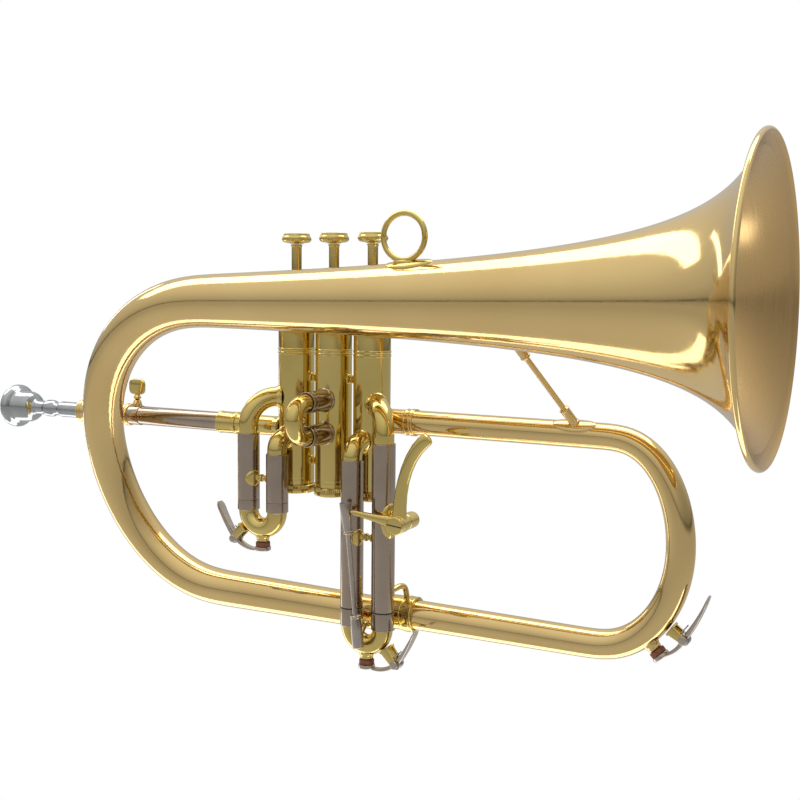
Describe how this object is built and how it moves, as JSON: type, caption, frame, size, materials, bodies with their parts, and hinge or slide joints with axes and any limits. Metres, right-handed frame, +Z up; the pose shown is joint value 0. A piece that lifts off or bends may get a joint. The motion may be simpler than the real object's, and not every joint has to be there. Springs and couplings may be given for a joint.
{
  "type": "flugelhorn",
  "caption": "Brass flugelhorn with piston valves, a wide conical bell, tuning slides, a slide trigger, water keys, finger ring and silver mouthpiece.",
  "frame": {"origin": "on the second valve's axis, at the height of the leadpipe's axis, where the player's left hand holds the casings", "axes": "+X out of the bell, +Z up along the valves, -Y towards the player's right-hand side, where the bell lies"},
  "size_m": [0.518, 0.153, 0.2893],
  "materials": {
    "lacquered_brass": "polished, clear lacquer",
    "yellow_brass": "polished, clear lacquer",
    "nickel_silver": "polished",
    "silver_plate": "polished plate",
    "spring_steel": "drawn wire",
    "cork": "matt"
  },
  "bodies": {
    "horn": {"bell": "lacquered_brass", "rear_bow": "lacquered_brass", "lower_branch_rear": "lacquered_brass", "lower_branch_front": "lacquered_brass", "upper_branch": "lacquered_brass", "upper_ferrule": "lacquered_brass", "front_bow": "lacquered_brass", "leadpipe_elbow": "lacquered_brass", "clamp_collar": "lacquered_brass", "diagonal_brace": "lacquered_brass", "casing_1": "yellow_brass", "casing_2": "yellow_brass", "casing_3": "yellow_brass", "top_cap_1": "yellow_brass", "top_cap_2": "yellow_brass", "top_cap_3": "yellow_brass", "bottom_cap_1": "yellow_brass", "bottom_cap_2": "yellow_brass", "bottom_cap_3": "yellow_brass", "lower_collar": "yellow_brass", "bow_key_saddle": "yellow_brass", "first_sleeve_brace": "yellow_brass", "third_sleeve_brace": "yellow_brass", "trigger_bracket": "yellow_brass", "trigger_pivot_screw": "yellow_brass", "finger_ring": "yellow_brass", "casing_brace": "yellow_brass", "slide_stay": "yellow_brass", "leadpipe_sleeve": "nickel_silver", "first_outer_leg_rear": "nickel_silver", "first_outer_leg_front": "nickel_silver", "third_outer_leg_rear": "nickel_silver", "third_outer_leg_front": "nickel_silver", "second_sleeve_upper": "nickel_silver", "second_sleeve_lower": "nickel_silver", "valve_spring_1": "spring_steel", "valve_spring_2": "spring_steel", "valve_spring_3": "spring_steel"},
    "tuning_pipe": {"mouthpipe": "lacquered_brass"},
    "mouthpiece": {"mouthpiece": "silver_plate"},
    "clamp_screw": {"thumbscrew": "lacquered_brass"},
    "valve_1": {"piston_1": "nickel_silver", "finger_button_1": "yellow_brass"},
    "valve_2": {"piston_2": "nickel_silver", "finger_button_2": "yellow_brass"},
    "valve_3": {"piston_3": "nickel_silver", "finger_button_3": "yellow_brass"},
    "first_slide": {"first_slide_bow": "yellow_brass", "first_key_saddle": "yellow_brass"},
    "first_key": {"first_key_lever": "nickel_silver", "first_key_cork": "cork"},
    "second_slide": {"second_slide_bow": "yellow_brass"},
    "third_slide": {"third_slide_bow": "yellow_brass", "third_key_saddle": "yellow_brass"},
    "third_key": {"third_key_lever": "nickel_silver", "third_key_cork": "cork"},
    "trigger": {"trigger_lever": "yellow_brass"},
    "link": {"trigger_link": "nickel_silver"},
    "bow_key": {"bow_key_lever": "nickel_silver", "bow_key_cork": "cork"}
  },
  "joints": [
    {"name": "valve_1_stroke", "type": "slide", "parent": "horn", "child": "valve_1", "axis": [0, 0, -1], "range_m": [0, 0.016], "stiffness_N_per_m": 150, "springref_m": -0.015, "deforming": ["valve_spring_1"]},
    {"name": "valve_2_stroke", "type": "slide", "parent": "horn", "child": "valve_2", "axis": [0, 0, -1], "range_m": [0, 0.016], "stiffness_N_per_m": 150, "springref_m": -0.015, "deforming": ["valve_spring_2"]},
    {"name": "valve_3_stroke", "type": "slide", "parent": "horn", "child": "valve_3", "axis": [0, 0, -1], "range_m": [0, 0.016], "stiffness_N_per_m": 150, "springref_m": -0.015, "deforming": ["valve_spring_3"]},
    {"name": "first_slide_pull", "type": "slide", "parent": "horn", "child": "first_slide", "axis": [0, 0, -1], "range_m": [0, 0.018]},
    {"name": "second_slide_pull", "type": "slide", "parent": "horn", "child": "second_slide", "axis": [0, -1, 0], "range_m": [0, 0.01]},
    {"name": "trigger_swing", "type": "hinge", "parent": "horn", "child": "trigger", "pos_m": [0.0615, -0.031, -0.044], "axis": [0, -1, 0], "range_deg": [0, 27]},
    {"name": "third_slide_pull", "type": "slide", "parent": "horn", "child": "third_slide", "axis": [0, 0, -1], "range_m": [0, 0.0158], "stiffness_N_per_m": 70, "springref_m": -0.02},
    {"name": "link_swing", "type": "hinge", "parent": "third_slide", "child": "link", "pos_m": [0.0351, -0.031, -0.111], "axis": [0, 1, 0], "range_deg": [0, 1.6]},
    {"name": "tuning_pull", "type": "slide", "parent": "horn", "child": "tuning_pipe", "axis": [-1, 0, 0], "range_m": [0, 0.03]},
    {"name": "mouthpiece_pull", "type": "slide", "parent": "tuning_pipe", "child": "mouthpiece", "axis": [-1, 0, 0], "range_m": [0, 0.02]},
    {"name": "clamp_screw_turn", "type": "hinge", "parent": "horn", "child": "clamp_screw", "pos_m": [-0.15, 0, 0.01], "axis": [0, 0, 1], "range_deg": [0, 180]},
    {"name": "bow_key_swing", "type": "hinge", "parent": "horn", "child": "bow_key", "pos_m": [0.21095, 0, -0.09327], "axis": [0, -1, 0], "range_deg": [0, 15], "stiffness_Nm_per_rad": 0.02, "springref_deg": -22.92},
    {"name": "first_key_swing", "type": "hinge", "parent": "first_slide", "child": "first_key", "pos_m": [-0.05705, -0.019, -0.06715], "axis": [0, 1, 0], "range_deg": [0, 20], "stiffness_Nm_per_rad": 0.02, "springref_deg": -22.92},
    {"name": "third_key_swing", "type": "hinge", "parent": "third_slide", "child": "third_key", "pos_m": [0.0547, -0.02, -0.1268], "axis": [0, -1, 0], "range_deg": [0, 20], "stiffness_Nm_per_rad": 0.02, "springref_deg": -22.92}
  ],
  "couplings": [
    {"joint": "trigger_swing", "follows": "third_slide_pull", "rad_per_m": 29.64},
    {"joint": "link_swing", "follows": "third_slide_pull", "rad_per_m": 1.6806}
  ]
}
